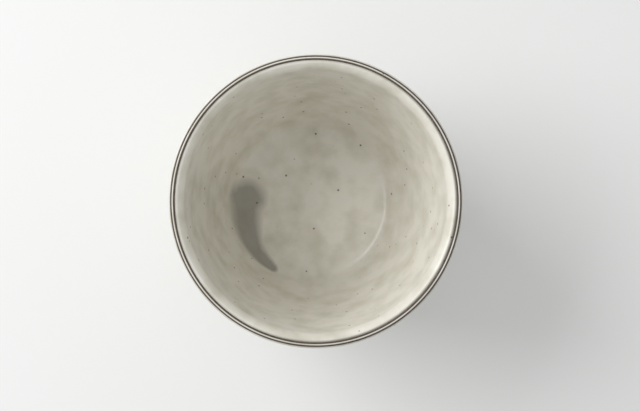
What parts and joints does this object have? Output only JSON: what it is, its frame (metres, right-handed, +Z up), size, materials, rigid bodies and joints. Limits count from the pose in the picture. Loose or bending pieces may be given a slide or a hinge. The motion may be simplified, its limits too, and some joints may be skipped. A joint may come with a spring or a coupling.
{
  "type": "tea cup",
  "caption": "Round thrown stoneware tea cup under white slip and clear glaze, wide mouth, bowed taper and a bare turned foot ring, open at the top for a hot drink.",
  "frame": {"origin": "centre of the foot ring's resting face, on the cup's axis", "axes": "+Z up along the axis the cup was thrown on, from the foot ring to the mouth; X and Y are alike"},
  "size_m": [0.0836, 0.0836, 0.0675],
  "materials": {
    "stoneware": "bare fired clay, matt and slightly sandy",
    "white_slip": "white clay slip under the glaze",
    "clear_glaze": "clear feldspar glaze, soft gloss, cream over the slip"
  },
  "bodies": {
    "root": {"clay_body": "stoneware", "inside_slip": "white_slip", "lip_slip": "white_slip", "outside_slip": "white_slip", "clear_glaze": "clear_glaze"}
  },
  "joints": []
}
